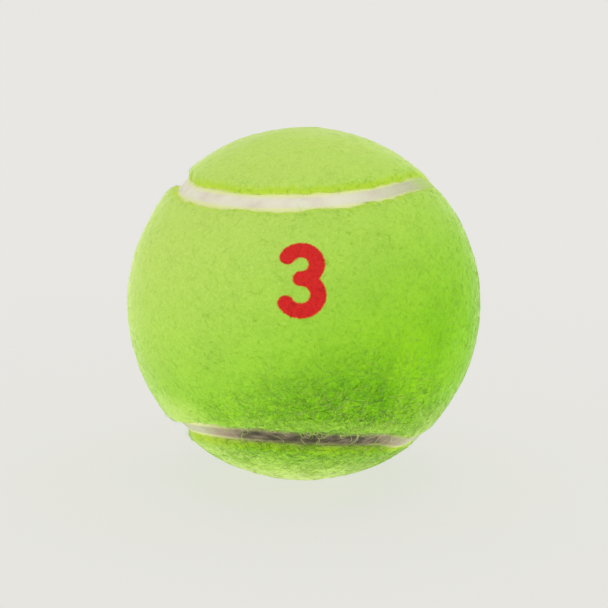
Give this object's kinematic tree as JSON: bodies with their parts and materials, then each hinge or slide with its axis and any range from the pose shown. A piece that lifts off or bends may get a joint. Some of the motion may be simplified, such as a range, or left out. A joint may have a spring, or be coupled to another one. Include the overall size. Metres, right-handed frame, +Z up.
{
  "type": "tennis ball",
  "caption": "Hollow rubber-cored ball covered by two dumbbell-shaped felt panels that meet along one continuous curved rubber seam.",
  "frame": {"origin": "centre of the ball", "axes": "+Z up; -Y towards the front panel's waist; the front panel's lobes lie towards -X and +X, the rear panel's towards -Z and +Z"},
  "size_m": [0.066, 0.066, 0.066],
  "materials": {
    "core_rubber": "matt moulded rubber, dusted with talc",
    "joint_cement": "cured rubber cement",
    "cover_cement": "thin cured rubber film",
    "backing_cloth": "plain woven cotton",
    "felt": "raised wool and nylon felt with curly loose fibres",
    "seam_rubber": "matt off-white rubber"
  },
  "bodies": {
    "root": {"core_half_upper": "core_rubber", "core_half_lower": "core_rubber", "core_joint_cement": "joint_cement", "cover_cement": "cover_cement", "front_backing_cloth": "backing_cloth", "rear_backing_cloth": "backing_cloth", "front_felt_panel": "felt", "rear_felt_panel": "felt", "seam_rubber": "seam_rubber"}
  },
  "joints": []
}
